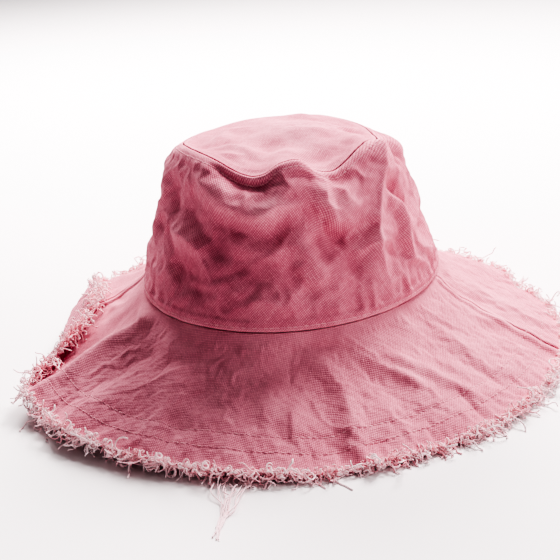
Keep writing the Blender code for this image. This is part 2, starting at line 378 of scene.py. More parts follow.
def ribbed_look(name, base, light, pitch, turn, relief_height):
    """Twill or tape: fine parallel ribs over the flat pattern."""
    look, shader, n = new_look(name)
    x, y = n.split(n.flat(turn))
    rib, cross = n.wave(x, 2 * math.pi / pitch), n.wave(y, 2 * math.pi / (pitch * 0.8))
    relief = n.math("MULTIPLY_ADD", cross, 0.25, n.math("MULTIPLY_ADD", rib, 0.35, 0.5))
    place = n.add("ShaderNodeTexCoord").outputs["Object"]
    share = n.vary(relief, n.noise(place, 60, 4.0, 0.6), 0.9, clamp=True)
    n.fill(shader, {
        "Base Color": n.mix(share, tint(*base), tint(*light)), "Roughness": 0.85,
        "Specular IOR Level": 0.25, "Sheen Weight": 0.25,
    })
    n.bump(shader, n.math("MULTIPLY", relief, relief_height))
    return look


# ---------------------------------------------------------------- numbers over a surface
def lattice_noise(points, table):
    """Smooth noise from 0 to 1 read from a table of random values at whole-number places."""
    cell = np.floor(points).astype(int)
    f = points - cell
    f = f * f * f * (f * (f * 6 - 15) + 10)
    size = len(table)
    total = 0
    for corner in np.ndindex(2, 2, 2):
        weight = np.prod(np.where(np.array(corner) == 1, f, 1 - f), axis=-1)
        at = (cell + corner) % size
        total = total + weight * table[at[..., 0], at[..., 1], at[..., 2]]
    return total


def value_noise(points, size, seed):
    """Smooth noise from about -1 to 1 over points in space, with lumps about size across.

    Two lattices, each turned its own way, hide the lattice's own directions.
    """
    rng = np.random.default_rng(seed)
    total = 0
    for _ in range(2):
        table = rng.random((24, 24, 24))
        turn, _ = np.linalg.qr(rng.normal(0, 1, (3, 3)))
        total = total + lattice_noise(points @ turn / size + rng.random(3) * 7, table)
    return (total - 1) * 1.35


def bell(value, width):
    """1 where the value is 0, falling off smoothly over the width on both sides."""
    return np.exp(-((value / width) ** 2))


def wrapped(degrees):
    """The same direction, from -180 to 180 degrees."""
    return (degrees + 180) % 360 - 180


def unit(vectors):
    return vectors / np.maximum(np.linalg.norm(vectors, axis=-1, keepdims=True), 1e-12)


def run_along(line):
    """How far along a line each of its points is."""
    return np.concatenate([[0], np.cumsum(np.linalg.norm(np.diff(line, axis=0), axis=1))])


def read_along(place, run, values):
    """Values at places along a line, blended between its points."""
    return np.stack([np.interp(place, run, values[:, i]) for i in range(3)], -1)


def smoothstep(value, low, high):
    t = np.clip((value - low) / (high - low), 0, 1)
    return t * t * (3 - 2 * t)


def smooth_line(knots, count):
    """Evenly spread places along a smooth line through the knots."""
    k = np.asarray(knots, float)
    steps = np.linspace(0, len(k) - 1, count)
    i = np.minimum(steps.astype(int), len(k) - 2)
    t = (steps - i)[:, None]
    here, after = k[i], k[i + 1]
    before, beyond = k[np.maximum(i - 1, 0)], k[np.minimum(i + 2, len(k) - 1)]
    leave, arrive = (after - before) / 2, (beyond - here) / 2
    return (
        (2 * t**3 - 3 * t**2 + 1) * here
        + (t**3 - 2 * t**2 + t) * leave
        + (3 * t**2 - 2 * t**3) * after
        + (t**3 - t**2) * arrive
    )


def round_knots(angle, knots, spread=2.0):
    """A value that changes smoothly with the angle, all the way round, from (degrees, value) knots."""
    knots = sorted(knots)
    at = np.array([k[0] for k in knots], float)
    value = np.array([k[1] for k in knots], float)
    at = np.concatenate([at - 360, at, at + 360])
    value = np.tile(value, 3)
    fine = np.arange(-360, 360, 0.5)
    line = np.interp(fine, at, value)
    reach = np.arange(-4 * spread, 4 * spread + 0.1, 0.5)
    weights = bell(reach, spread)
    line = np.convolve(line, weights / weights.sum(), "same")
    return np.interp(wrapped(np.degrees(angle)), fine, line)


class Folds:
    """Folds and dents laid over a panel, each given by places in degrees and in share of the slant."""

    def __init__(self, angle, along, mm_per_degree, slant):
        self.degrees = wrapped(np.degrees(angle))
        self.along = along
        self.scale = mm_per_degree
        self.slant = slant / MM
        self.height = np.zeros(np.broadcast(angle, along).shape)

    def offset(self, degrees, along):
        return wrapped(self.degrees - degrees) * self.scale, (self.along - along) * self.slant

    def fold(self, knots, height, width, crisp=False, open_ends=(False, False)):
        """A ridge, or a valley where height is below 0, along a line; millimetres."""
        line = smooth_line(knots, 8 * len(knots))
        share = np.linspace(0, 1, len(line))
        fade = np.ones(len(line))
        if not open_ends[0]:
            fade *= smoothstep(share, -0.02, 0.3)
        if not open_ends[1]:
            fade *= smoothstep(1 - share, -0.02, 0.3)
        shape = np.zeros_like(self.height)
        for (degrees, along), strength in zip(line, fade):
            x, y = self.offset(degrees, along)
            squared = (x * x + y * y) / width**2
            profile = np.exp(-np.sqrt(squared + 0.05) + 0.22) if crisp else np.exp(-squared)
            np.maximum(shape, profile * strength, out=shape)
        self.height += shape * height * MM

    def dent(self, degrees, along, height, wide, tall, tilt=0.0):
        x, y = self.offset(degrees, along)
        c, s = math.cos(tilt * DEG), math.sin(tilt * DEG)
        across, up = (x * c + y * s) / wide, (y * c - x * s) / tall
        self.height += np.exp(-(across**2) - up**2) * height * MM


# ---------------------------------------------------------------- the hat's surfaces
# How the tip's rim is crushed: degrees, rise and reach outwards in millimetres.
RIM = (
    (-175, 0.2, -2.0), (-160, 2.6, -2.6), (-145, 4.5, -3.5), (-130, 5.2, -3.5), (-119, 5.2, -2.0),
    (-112, 4.4, -1.0), (-106, 2.8, -0.5), (-101, 0.8, 0), (-94, -1.9, 0.5), (-87, -3.4, 1.0),
    (-80, -1.9, 1.0), (-76, 1.2, 0), (-72, 3.3, -0.4), (-65, 4.6, -0.6), (-61, 4.0, -0.4),
    (-57, 0.8, 0), (-54, -2.3, 0), (-50, -4.2, 0.3), (-45, -5.2, 0.5), (-41, -5.2, 0.4),
    (-36, -3.4, 0), (-30, -0.8, 0), (-24, 2.2, 0), (-15, 4.4, 0.5), (-8, 3.4, 1.5), (-1, 0.8, 1.0),
    (12, -2.2, 0.5), (28, -4.0, 0), (50, -2.6, 1.0), (80, -0.4, 0), (105, -1.4, 1.5),
    (128, -0.8, -1.0), (150, -2.0, -0.8), (170, -0.8, -1.8),
)
# How far the brim's cut edge is off the table, and how far it is pushed out: degrees, millimetres.
EDGE = (
    (-172, 8.0, 0), (-160, 5.0, 0), (-148, 3.5, 0), (-136, 6.0, 0), (-122, 5.0, 0), (-106, 2.0, 0),
    (-92, 0.8, 0), (-80, -0.6, 2.0), (-69, -2.0, 4.5), (-58, -0.8, 1.5), (-44, 0.8, 0),
    (-25, 0, 0), (-10, 1.5, 0), (5, 0.5, -1.0), (20, 1.0, -2.0), (35, 1.5, -4.0), (46, 2.2, -2.0),
    (57, 3.5, 0), (72, 1.0, 0), (90, 2.5, -2.0), (104, 0.5, 0), (118, 3.0, 0), (132, 5.5, 0),
    (143, 8.0, 0), (151, 3.0, 0), (158, 2.0, 0), (165, 6.0, 0), (174, 8.0, 0),
)


def knots_of(shape):
    """The two sets of (degrees, value) knots in a list of (degrees, value, value)."""
    return [(k[0], k[1]) for k in shape], [(k[0], k[2]) for k in shape]


def turn_of(angle):
    return np.stack([np.cos(angle), np.sin(angle), np.zeros_like(angle)], -1)


def head_seam(angle):
    """The line where the crown band and the brim are sewn together."""
    sway = value_noise(turn_of(angle), 0.33, 5)[..., None]
    place = turn_of(angle) * (HEAD_HALF_WIDTH, HEAD_HALF_LENGTH, 0)
    return place + (0, 0, HEAD_HEIGHT) + turn_of(angle) * sway * 0.5 * MM + sway * (0, 0, 0.5 * MM)


def tip_rim(angle):
    """The line where the tip and the crown band are sewn together."""
    rise, reach = (round_knots(angle, part)[..., None] * MM for part in knots_of(RIM))
    place = turn_of(angle) * (TIP_HALF_WIDTH, TIP_HALF_LENGTH, 0)
    return place + (TIP_SHIFT, 0, TIP_HEIGHT) + rise * (0, 0, 1) + turn_of(angle) * reach


def normals(grid, ring):
    """Unit normals of a grid of points, away from the hat's inside."""
    if ring:
        around = np.roll(grid, -1, 0) - np.roll(grid, 1, 0)
    else:
        around = np.gradient(grid, axis=0)
    along = np.gradient(grid, axis=1)
    return unit(np.cross(around, along))


def relief_wear_and_shade(height, seam, strength=0.028):
    """Paler worn cloth on ridges and seams, and painted shade that darkens the valleys."""
    return np.clip(height / MM * strength, -0.12, 0.16) + seam


class Settled:
    """How a panel's cloth moves from its laid-out folds when it is left to settle."""

    def __init__(self, tall):
        self.around, self.tall = 330, tall
        self.moved = None

    def grid(self):
        """Angles round the hat and shares along the panel."""
        return np.arange(self.around) / self.around * 2 * math.pi, np.linspace(0, 1, self.tall)

    def sample(self, a, u):
        """The movement at any place, blended from the four nearest places."""
        if self.moved is None:
            return 0.0
        x = (a / (2 * math.pi) % 1) * self.around
        y = np.clip(u, 0, 1) * (self.tall - 1)
        i, j = np.floor(x).astype(int), np.minimum(y.astype(int), self.tall - 2)
        p, q = (x - i)[..., None], (y - j)[..., None]
        i, after = i % self.around, (i + 1) % self.around
        low = self.moved[i, j] * (1 - p) + self.moved[after, j] * p
        high = self.moved[i, j + 1] * (1 - p) + self.moved[after, j + 1] * p
        return low * (1 - q) + high * q


BAND_SETTLED = Settled(48)
BRIM_SETTLED = Settled(46)


def band_surface(angle, up):
    """The outside of the crown band with its folds, and how worn it is, with painted shade in the
    valleys of its folds.
    """
    a, u = np.meshgrid(angle, up, indexing="ij")
    foot, head = head_seam(a), tip_rim(a) - (0, 0, 0.1 * MM)
    left = 0.5 - 0.5 * np.cos(a)
    swell = (BAND_SWELL - 2.0 * MM * left) * np.sin(math.pi * u) ** 0.8
    below = (1 - u) * BAND_SLANT / MM
    swell = swell + 3.0 * MM * (1 - np.exp(-below / 3.0)) * bell(below, 17)
    shoulder = 4.0 * MM * smoothstep(u, 0.45, 0.92) * smoothstep(1 - u, 0.0, 0.10)
    swell = swell + shoulder * bell(wrapped(np.degrees(a)) - 30, 38)
    base = foot + (head - foot) * u[..., None] + turn_of(a) * swell[..., None]
    f = Folds(a, u, HEAD_PER_DEGREE - BAND_NARROWS * u, BAND_SLANT)
    front_folds(f)
    side_folds(f)
    back = smoothstep(np.abs(f.degrees), 35, 70) * smoothstep(f.degrees, -5, 40)
    back = np.maximum(back, smoothstep(-f.degrees, 150, 172))
    place = turn_of(a) * 0.085 + u[..., None] * (0, 0, BAND_SLANT)
    warp = value_noise(place, 0.030, 21)[..., None] * 0.012
    crease = 1 - np.abs(value_noise(place + warp, 0.034, 22)) * 2
    big = value_noise(place, 0.040, 23)
    body = smoothstep(u, 0.04, 0.25) * smoothstep(1 - u, 0.0, 0.16)
    f.height += back * body * (2.2 * MM * crease + 2.4 * MM * big)
    small = 1 - np.abs(value_noise(place + warp * 0.7, 0.013, 24)) * 2
    f.height += body * (0.8 * MM * small + 0.8 * MM * value_noise(place + warp, 0.017, 25))
    f.height += 0.35 * MM * value_noise(place, 0.008, 26)
    f.height += gathers(f, u)
    f.height *= smoothstep(1 - u, -0.004, 0.045)
    seams, seam_wear = band_seams(f, a, u)
    height = sum(seams, f.height)
    # Paler worn cloth on ridges and seams, and painted shade in the valleys of the band's folds.
    wear_and_shade = relief_wear_and_shade(f.height, seam_wear)
    return base + normals(base, False) * height[..., None] + BAND_SETTLED.sample(a, u), wear_and_shade


def band_seams(f, a, u):
    """The relief of the band's seams and rows of stitches, part by part, and how worn they are."""
    from_base, from_tip = u * BAND_SLANT, (1 - u) * BAND_SLANT
    base_row, tip_row = from_base - BASE_STITCH, from_tip - TIP_STITCH
    # The turned seam allowances stand proud beside both seams, with the seam itself pulled in.
    lip = 0.7 * MM * (1 - smoothstep(from_base, 4.5 * MM, 6.5 * MM))
    lip = lip + 0.5 * MM * (1 - smoothstep(from_tip, 4.5 * MM, 6.5 * MM))
    pucker = np.sin(np.radians(f.degrees) * 170) * 0.10 * MM
    pucker = pucker * (bell(base_row, 2 * MM) + bell(tip_row, 2 * MM))
    roll = -0.3 * MM * bell(from_tip, 0.7 * MM)
    roll = roll - 0.5 * MM * bell(from_base, 0.5 * MM)
    stitched = -0.22 * MM * (bell(base_row, 0.7 * MM) + bell(tip_row, 0.7 * MM))
    # The band's own seam is at the back.
    beside = wrapped(np.degrees(a) - 90) * f.scale * MM
    allowance = smoothstep(beside, -1.0 * MM, 0.2 * MM) * (1 - smoothstep(beside, 5.0 * MM, 7.0 * MM))
    seam = -0.6 * MM * bell(beside, 0.6 * MM) + 0.45 * MM * allowance
    wear_and_shade = 0.20 * bell(from_base - 0.6 * MM, 1.3 * MM)
    wear_and_shade = wear_and_shade + 0.16 * bell(from_tip - 0.5 * MM, 1.5 * MM)
    wear_and_shade = wear_and_shade + 0.16 * bell(beside - 1.2 * MM, 1.2 * MM)
    return (lip, pucker, roll, stitched, seam), wear_and_shade


def gathers(f, u):
    """Short upright ripples, in loose groups, where the band is eased into the head seam."""
    rng = np.random.default_rng(31)
    total = np.zeros_like(f.height)
    degrees = -180.0
    while degrees < 178:
        degrees += rng.choice((2.4, 3.4, 5.0, 8.0), p=(0.3, 0.35, 0.2, 0.15)) * rng.uniform(0.8, 1.2)
        strong = math.exp(-(((degrees + 145) / 26) ** 2)) + math.exp(-(((degrees + 18) / 26) ** 2))
        high = rng.choice((0.3, 0.7, 1.2)) * rng.uniform(0.7, 1.2) * (0.55 + 0.9 * min(strong, 1))
        tall = rng.uniform(0.05, 0.13) * (1 + 0.6 * min(strong, 1))
        lean = rng.uniform(-26, 26)
        wide = rng.uniform(1.2, 2.8)
        x = f.offset(degrees, 0)[0] - lean * u - rng.uniform(-20, 20) * u * u
        fade = bell(u, tall) * smoothstep(u, 0.015, 0.075)
        total += high * MM * fade * bell(x, wide)
    return total


def front_folds(f):
    """The deep folds of the crown's front."""
    f.fold(((-128, .88), (-108, .84), (-94, .77), (-84, .735), (-76, .77), (-66, .86)), 7.0, 9.5)
    f.fold(((-112, .985), (-92, .955), (-74, .975)), -4.5, 3.6, crisp=True)
    f.fold(((-104, .67), (-90, .66), (-79, .64), (-68, .62)), -3.6, 7.5)
    f.fold(((-98, .595), (-83, .525), (-72, .48)), 2.6, 4.6)
    f.fold(((-93, .43), (-84, .34)), -2.6, 7.0)
    f.fold(((-61, .54), (-56, .44)), -3.4, 6.0)
    f.fold(((-71, .58), (-64, .45), (-60, .32)), 2.6, 5.0)
    f.fold(((-58, .70), (-51, .55), (-47, .42), (-44, .28)), -4.2, 6.5)
    f.dent(-45, .78, 4.6, 13, 11)
    f.fold(((-53, .60), (-44, .585), (-35, .57)), -3.2, 5.0)
    f.fold(((-56, .95), (-55, .8), (-52, .69), (-47, .61)), 2.6, 4.5)
    f.fold(((-47, .955), (-39, .945)), -2.6, 4.0)
    f.fold(((-88, .22), (-78, .16), (-69, .20)), 1.8, 6.0)
    f.fold(((-76, .40), (-70, .28), (-66, .18)), -1.8, 6.0)
    f.fold(((-108, .50), (-101, .42), (-97, .34)), -1.6, 6.0)
    # The crisp upright ridge that runs from the tip's corner down to the head seam.
    f.fold(
        ((-9, 1.0), (-17, .87), (-25.6, .725), (-31, .6), (-35, .463), (-34.6, .319), (-32.6, .14)),
        4.8, 5.0, crisp=True, open_ends=(True, False),
    )
    f.fold(((-30, .37), (-24, .33), (-19, .29)), -2.6, 5.0)
    f.fold(((-32, .48), (-22, .45)), 1.8, 5.0)


def side_folds(f):
    """The folds on the right side and on the left side of the crown."""
    f.fold(
        ((-24, .76), (-19, .66), (-15.5, .6), (-15.5, .5), (-17, .4), (-18.4, .306), (-20.5, .13)),
        3.6, 4.6,
    )
    f.fold(((-23, .80), (-14, .68), (-9, .58), (-5, .52), (3, .62)), -4.0, 5.5)
    f.dent(5, .90, -5.0, 7.5, 7.5)
    f.dent(23, .90, 3.5, 15, 11)
    f.fold(((10, .76), (15, .62), (14, .46), (18, .30)), 2.4, 5.0)
    f.fold(((-6, .40), (2, .34), (10, .38), (18, .48)), -2.6, 5.5)
    f.fold(((24, .72), (28, .55), (36, .40)), -2.4, 6.5)
    f.fold(((40, .85), (46, .66), (42, .48)), 2.4, 6.5)
    f.fold(((-8, .28), (-2, .20), (6, .16)), 1.4, 4.5)
    f.fold(((-141, .76), (-134, .60)), -3.0, 6.5)
    f.fold(((-140, .57), (-130, .52), (-115, .49), (-103, .44), (-93, .29)), 3.0, 6.0)
    f.fold(((-127, .73), (-112, .56), (-96, .42)), -3.0, 6.0)
    f.fold(((-129, .41), (-124, .33), (-115, .25), (-106, .16)), -3.0, 6.5)
    f.fold(((-155, .88), (-150, .70), (-153, .50), (-148, .30)), 2.6, 6.0)
    f.fold(((-166, .80), (-163, .60), (-166, .40)), -2.6, 7.0)
    f.dent(-160, .80, 2.5, 16, 14)


def tip_surface(angle, across):
    """The top panel with its dents, and how worn it is, with painted shade in its hollows."""
    a, r = np.meshgrid(angle, across, indexing="ij")
    rim = tip_rim(a) - turn_of(a) * (CANVAS + 0.1 * MM)
    middle = np.array([TIP_SHIFT, 0, TIP_HEIGHT])
    flat = middle + (rim - middle) * (1, 1, 0) * r[..., None]
    rise = (rim - middle)[..., 2]
    crushed = rise * r**2.5
    height = crushed - TIP_SAG * (1 - r**2) + 5.6 * MM * (1 - smoothstep(r, 0.45, 1.0))
    x, y = (flat - middle)[..., 0] / MM, flat[..., 1] / MM

    def dent(at_x, at_y, deep, wide, tall, lean=0.0):
        c, s = math.cos(lean * DEG), math.sin(lean * DEG)
        p, q = (x - at_x) * c + (y - at_y) * s, (y - at_y) * c - (x - at_x) * s
        return deep * MM * np.exp(-((p / wide) ** 2) - (q / tall) ** 2)

    edge = 1 - smoothstep(r, 0.80, 1.0)
    height = height + edge * (
        dent(-30, -28, -2.4, 22, 10, 20) + dent(4, -23, -2.4, 16, 9, 12)
        + dent(30, -9, -2.6, 8, 12, -20) + dent(33, 21, -1.8, 12, 5, 40)
        + dent(-20, -34, 1.4, 12, 7, -10) + dent(-25, 5, -1.6, 14, 20, 15)
        + dent(6, 12, 1.6, 22, 14) + dent(-4, 40, -1.5, 18, 8, 20) + dent(16, -38, 1.6, 9, 7, 30)
    )
    place = flat * (1, 1, 0)
    warp = value_noise(place, 0.03, 41)[..., None] * 0.010
    crease = 1 - np.abs(value_noise(place + warp, 0.030, 42)) * 2
    height = height + edge * (2.0 * MM * crease + 2.0 * MM * value_noise(place, 0.040, 43))
    small, fine = value_noise(place + warp, 0.015, 45), value_noise(place, 0.008, 46)
    height = height + edge * (1.0 * MM * small + 0.45 * MM * fine)
    height = height + smoothstep(1 - r, 0, 0.06) * 0.3 * MM * value_noise(place, 0.012, 44)
    from_rim = (1 - r) * TIP_RADIUS_MM * MM
    lip = 0.45 * MM * (1 - smoothstep(from_rim, 4.5 * MM, 7.0 * MM))
    roll = -0.2 * MM * bell(from_rim, 0.7 * MM)
    # Paler worn cloth beside the rim seam, and painted shade in the tip's dents and creases.
    wear_and_shade = relief_wear_and_shade(height - crushed, 0.16 * bell(from_rim - 0.8 * MM, 1.6 * MM))
    return flat + (height + lip + roll)[..., None] * (0, 0, 1), wear_and_shade


def brim_profile(angle, out):
    """How far the brim runs outwards and how far it drops, at each angle and share of its slant."""
    fine = np.linspace(0, 1, 81)
    rise, reach = (round_knots(angle, part, 3.0) * MM for part in knots_of(EDGE))
    # The share of the slant at which the edge folds over.
    aside = np.clip(np.abs(wrapped(np.degrees(angle) - FLAP_ANGLE)), 0, 60)
    fold = (FLAP_REACH / np.cos(np.radians(aside)) - HEAD_HALF_WIDTH) / BRIM_RUN / FLAP_RUN
    fold = np.minimum(fold, NO_FLAP)[:, None]
    flat = smoothstep(1 - fold[:, 0], -0.02, 0.06)
    slant = (BRIM_SLANT + reach * 0.6)[:, None]
    slope = BRIM_SHALLOW + (BRIM_STEEP - BRIM_SHALLOW) * np.exp(-fine / BRIM_TURN)
    fall = HEAD_HEIGHT - SEAM_GAP - EDGE_HEIGHT - rise
    low, high = np.full(len(angle), 0.3), np.full(len(angle), 2.6)
    # Where the edge has flipped over, the brim already reaches the table at the fold.
    lying = 1 - flat[:, None] * smoothstep(fine, fold - 0.04, fold + 0.04)
    for _ in range(30):
        middle = (low + high) / 2
        drop = (np.sin(slope * middle[:, None]) * lying).mean(1) * slant[:, 0]
        high = np.where(drop > fall, middle, high)
        low = np.where(drop > fall, low, middle)
    tilt = slope * middle[:, None] - FLAP_TURN * smoothstep(fine, fold - 0.055, fold + 0.055)
    mid_tilt = (tilt[:, 1:] + tilt[:, :-1]) / 2

    def along(part):
        total = np.concatenate([np.zeros((len(angle), 1)), np.cumsum(part, 1) * (fine[1] - fine[0])], 1)
        return np.array([np.interp(out, fine, row) for row in total * slant])

    return along(np.cos(mid_tilt)), along(np.sin(mid_tilt))


def brim_surface(angle, out):
    """The top of the brim: it leaves the head seam steeply and flares out to its cut edge."""
    a, t = np.meshgrid(angle, out, indexing="ij")
    run, drop = brim_profile(angle, out)
    base = head_seam(a) - (0, 0, SEAM_GAP) + turn_of(a) * run[..., None] - drop[..., None] * (0, 0, 1)
    f = Folds(a, t, HEAD_PER_DEGREE + BRIM_WIDENS * t, BRIM_SLANT)
    brim_folds(f, base)
    from_head, from_edge = t * BRIM_SLANT, (1 - t) * BRIM_SLANT
    f.height *= smoothstep(t, 0.0, 0.12)
    height = f.height - 0.35 * MM * bell(from_head, 1.6 * MM)
    ripple = np.sin(np.radians(f.degrees) * 230)
    for at in (OUTER_STITCH, INNER_STITCH):
        height = height - bell(from_edge - at, 1.1 * MM) * (0.16 + 0.08 * ripple) * MM
    # The two halves are sewn together at both sides, with the allowances pressed open.
    beside = np.abs((f.degrees + 90) % 180 - 90) * f.scale * MM
    height = height - 0.75 * MM * bell(beside, 0.7 * MM)
    height = height + 1.3 * MM * (1 - smoothstep(beside, 3.5 * MM, 6 * MM)) * smoothstep(t, 0, 0.05)
    seam_wear = 0.22 * bell(beside - 1.6 * MM, 1.6 * MM) + 0.22 * bell(from_edge, 2.6 * MM)
    # Paler worn cloth at the seams and cut edge, and painted shade in the valleys of the brim's waves.
    wear_and_shade = relief_wear_and_shade(f.height, seam_wear)
    top = base - normals(base, False) * height[..., None] + BRIM_SETTLED.sample(a, t)
    # The cloth comes to rest on the table.
    spare = (top[..., 2] - REST_HEIGHT) / (0.5 * MM)
    top[..., 2] = REST_HEIGHT + np.logaddexp(0, spare) * 0.5 * MM
    return top, wear_and_shade


def brim_folds(f, place):
    """The brim's waves and its small wrinkles."""
    f.fold(((-143, .02), (-137, .12), (-137, .2), (-140, .4), (-139, .65), (-139, 1.0)), 4.2, 7.0,
           open_ends=(True, True))
    f.fold(((-76, .12), (-74, .26), (-69, .5), (-68, .81), (-67, 1.0)), -1.8, 11.0,
           open_ends=(False, True))
    f.fold(((-66, .20), (-62, .45), (-63, .8), (-62, 1.0)), 1.9, 6.0, open_ends=(False, True))
    f.fold(((-50, .30), (-49, .60), (-47, .95)), -1.8, 11.0, open_ends=(False, True))
    f.fold(((-46, .25), (-38, .50), (-33, .80)), 1.6, 4.5)
    f.fold(((-52, .22), (-46, .42), (-42, .60)), 1.3, 4.0)
    f.dent(-104, .22, -1.6, 16, 9)
    f.dent(-84, .26, -1.4, 15, 8)
    f.dent(-80, .66, -1.2, 12, 9)
    f.dent(-95, .60, 1.3, 16, 11)
    for degrees, lean, start, height, width in (
        (-156, 4, .15, -2.2, 9), (-124, -4, .20, -2.4, 10), (-110, 5, .30, 1.9, 9),
        (-98, -3, .35, -0.9, 8), (-84, 4, .45, 0.9, 7), (-30, 4, .25, -1.8, 8),
        (-20, -3, .15, 1.6, 8), (-9, 3, .3, -1.7, 7), (14, -3, .2, 2.0, 9),
        (30, 4, .15, -2.4, 9), (50, -4, .2, 2.2, 10), (68, 3, .2, -2.2, 10), (88, -4, .2, 2.4, 11),
        (106, 4, .2, -2.4, 10), (124, -3, .15, 2.2, 10), (138, 4, .3, -1.8, 8), (164, -3, .2, 2.0, 9),
    ):
        line = ((degrees, start), (degrees + lean, (1 + start) / 2), (degrees + lean * 1.5, 1.0))
        f.fold(line, height, width, open_ends=(False, True))
    warp = value_noise(place, 0.035, 51)[..., None] * 0.014
    crease = 1 - np.abs(value_noise(place + warp, 0.036, 52)) * 2
    f.height += 0.7 * MM * crease + 1.0 * MM * value_noise(place, 0.024, 53)
    f.height += 0.75 * MM * value_noise(place + warp, 0.014, 56)
    f.height += 0.40 * MM * value_noise(place, 0.0085, 54)
    f.height += 0.9 * MM * value_noise(place, 0.019, 55) * smoothstep(f.along, 0.6, 1.0)


def quads(a, b):
    """Four-sided faces between two grids of point numbers, where b follows a."""
    return np.stack([a[:, :-1], b[:, :-1], b[:, 1:], a[:, 1:]], -1).reshape(-1, 4)


def softened(moved):
    """The movement with its smallest wrinkles smoothed out, and what is left a little stronger."""
    moved = (np.roll(moved, 1, 0) + 3 * moved + np.roll(moved, -1, 0)) / 5
    inner = (moved[:, :-2] + 3 * moved[:, 1:-1] + moved[:, 2:]) / 5
    return np.concatenate([moved[:, :1], inner, moved[:, -1:]], 1) * WRINKLE_GAIN


def settle():
    """Let the slightly oversized cloth of the crown band and the brim buckle between its seams."""
    mesh = bpy.data.meshes.new("settling")
    starts, holds, eases, faces, first = [], [], [], [], 0
    for panel, surface, slant, hold, ease in (
        (BAND_SETTLED, band_surface, BAND_SLANT, BAND_HOLD, 0.0),
        (BRIM_SETTLED, brim_surface, BRIM_SLANT, BRIM_HOLD, 1.0),
    ):
        angle, share = panel.grid()
        starts.append(surface(angle, share)[0])
        a, u = np.meshgrid(np.degrees(angle), share, indexing="ij")
        free = smoothstep(u * slant, 4 * MM, 10 * MM)
        if panel is BAND_SETTLED:
            free = free * smoothstep((1 - u) * slant, 4 * MM, 8 * MM)
            free = free * smoothstep(np.abs((a + 90) % 360 - 180), 3, 8)
        else:
            free = free * smoothstep(90 - np.abs(a % 180 - 90), 2, 8)
            free = free * smoothstep(np.abs(wrapped(a - FLAP_ANGLE)), 30, 44)
        holds.append(np.maximum(hold, 1 - free).reshape(-1))
        eases.append(np.full(u.size, ease))
        index = first + np.arange(u.size).reshape(u.shape)
        faces.append(quads(index, np.roll(index, -1, 0)))
        first += u.size
    start = np.concatenate([grid.reshape(-1, 3) for grid in starts])
    mesh.from_pydata(start.tolist(), [], np.concatenate(faces).tolist())
    cloth = bpy.data.objects.new("settling", mesh)
    bpy.context.collection.objects.link(cloth)
    for name, weights in (("sewn", holds), ("ease", eases)):
        group = cloth.vertex_groups.new(name=name)
        for vertex, weight in enumerate(np.concatenate(weights).tolist()):
            group.add([vertex], weight, "REPLACE")
    modifier = cloth.modifiers.new("settle", "CLOTH")
    how = modifier.settings
    for key, value in {
        "quality": 6, "mass": 0.15,
        "tension_stiffness": 20, "compression_stiffness": 20, "shear_stiffness": 8,
        "bending_stiffness": 1.8,
        "tension_damping": 5, "compression_damping": 5, "shear_damping": 5,
        "bending_damping": 1.0, "air_damping": 1.5,
        "vertex_group_mass": "sewn", "pin_stiffness": 1.0,
        "vertex_group_shrink": "ease", "shrink_min": BAND_EASE, "shrink_max": BRIM_EASE,
    }.items():
        setattr(how, key, value)
    # The folds are already laid out, so the cloth's weight is nearly left out.
    how.effector_weights.gravity = 0.05
    modifier.collision_settings.use_collision = False
    modifier.point_cache.frame_start, modifier.point_cache.frame_end = 1, SETTLE_FRAMES
    scene = bpy.context.scene
    scene.frame_start, scene.frame_end = 1, SETTLE_FRAMES
    for frame in range(1, SETTLE_FRAMES + 1):
        scene.frame_set(frame)
    rested = cloth.evaluated_get(bpy.context.evaluated_depsgraph_get()).to_mesh()
    rest = np.empty(len(rested.vertices) * 3)
    rested.vertices.foreach_get("co", rest)
    moved = rest.reshape(-1, 3) - start
    split = starts[0].size // 3
    BAND_SETTLED.moved = softened(moved[:split].reshape(starts[0].shape))
    BRIM_SETTLED.moved = moved[split:].reshape(starts[1].shape)
    bpy.data.objects.remove(cloth)
    bpy.data.meshes.remove(mesh)
    scene.frame_set(1)


# ---------------------------------------------------------------- meshes
def on_arc(turn, away):
    return np.stack([away * np.sin(turn), -away * np.cos(turn)], -1)


def band_pattern(angle, up):
    """Flat pattern of the crown band, metres: a strip of a cone, cut on one curve."""
    a, u = np.meshgrid(angle, up, indexing="ij")
    return on_arc((a + math.pi / 2) * BAND_ARC_TURN, BAND_ARC - u * BAND_SLANT)


def brim_pattern(angle, out):
    """Flat pattern of half the brim, metres: part of a ring around the half's own middle."""
    a, t = np.meshgrid(angle, out, indexing="ij")
    return on_arc((a - (a[0, 0] + a[-1, 0]) / 2) * BRIM_ARC_TURN, BRIM_ARC + t * BRIM_SLANT)


def link(name, mesh, look, shade, values):
    """The mesh as a piece of the hat; its look reads the values at its points by the shade's name."""
    attribute = mesh.attributes.new(shade, "FLOAT", "POINT")
    attribute.data.foreach_set("value", values.astype(np.float32))
    mesh.shade_smooth()
    mesh.materials.append(look)
    piece = bpy.data.objects.new(name, mesh)
    bpy.context.collection.objects.link(piece)
    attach(piece, "root")
    return piece


